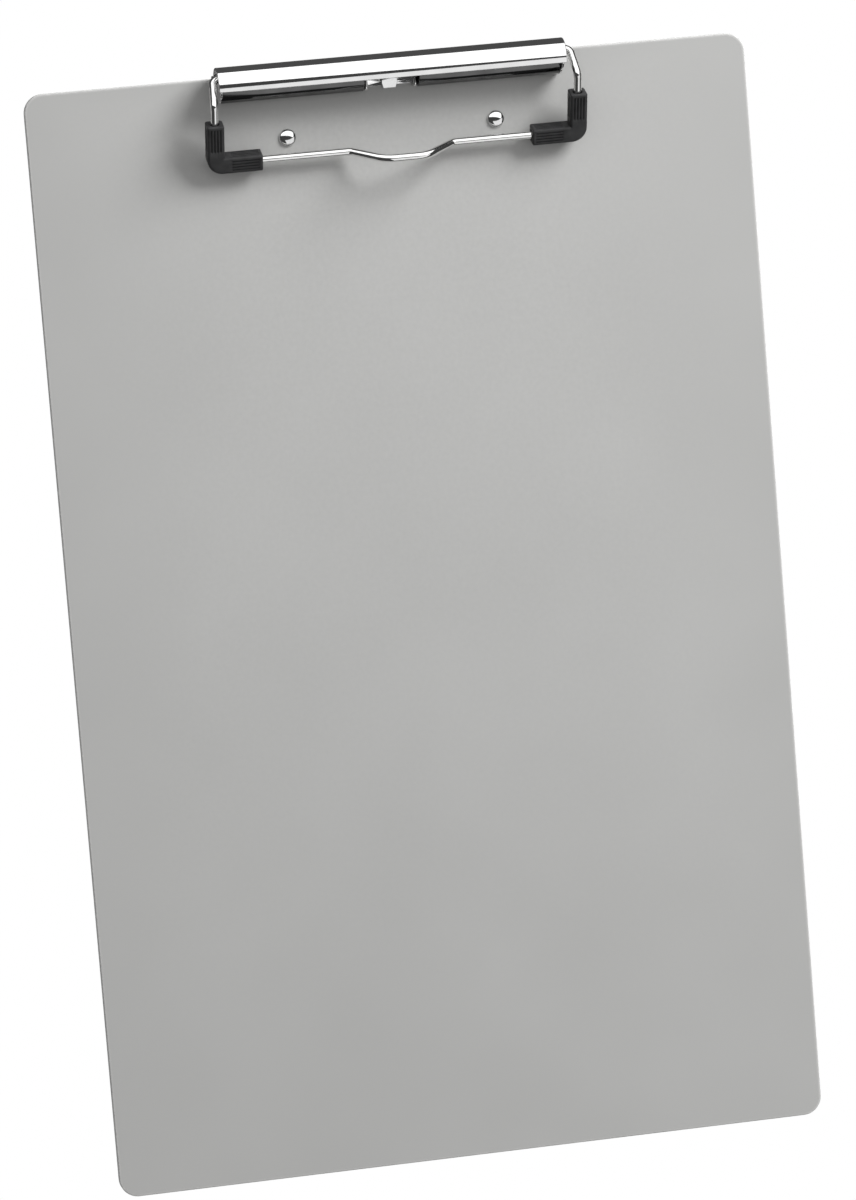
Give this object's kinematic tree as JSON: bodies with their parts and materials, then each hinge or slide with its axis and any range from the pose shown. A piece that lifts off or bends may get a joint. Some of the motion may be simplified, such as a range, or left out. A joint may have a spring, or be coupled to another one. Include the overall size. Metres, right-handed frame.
{
  "type": "clipboard",
  "caption": "Rigid grey writing board with rounded corners and a chromed tube clip at the top, whose sprung wire bail with black corner caps swings down to hold paper.",
  "frame": {"origin": "middle of the board's back face", "axes": "+X across the board to the right, +Y along the board towards the clip, +Z out of the writing face"},
  "size_m": [0.23, 0.3536, 0.0164],
  "materials": {
    "board_sheet": "smooth satin grey plastic sheet",
    "chromed_sheet": "bright chrome on formed sheet steel",
    "chromed_wire": "bright chrome on steel wire",
    "cap_plastic": "matte black moulded plastic with fine ribs",
    "spring_steel": "bright drawn spring wire",
    "chromed_rivet": "bright chrome, domed"
  },
  "bodies": {
    "board": {"writing_board": "board_sheet", "clip_spine": "chromed_sheet", "spring_carrier": "chromed_sheet", "left_rivet": "chromed_rivet", "right_rivet": "chromed_rivet", "left_torsion_spring": "spring_steel", "right_torsion_spring": "spring_steel"},
    "bail": {"wire_bail": "chromed_wire", "left_corner_cap": "cap_plastic", "right_corner_cap": "cap_plastic"}
  },
  "joints": [
    {"name": "bail_hinge", "type": "hinge", "parent": "board", "child": "bail", "pos_m": [0, 0.175, 0.0082], "axis": [-1, 0, 0], "range_deg": [0, 90], "stiffness_Nm_per_rad": 0.12, "springref_deg": -57.3, "deforming": ["left_torsion_spring", "right_torsion_spring"]}
  ]
}
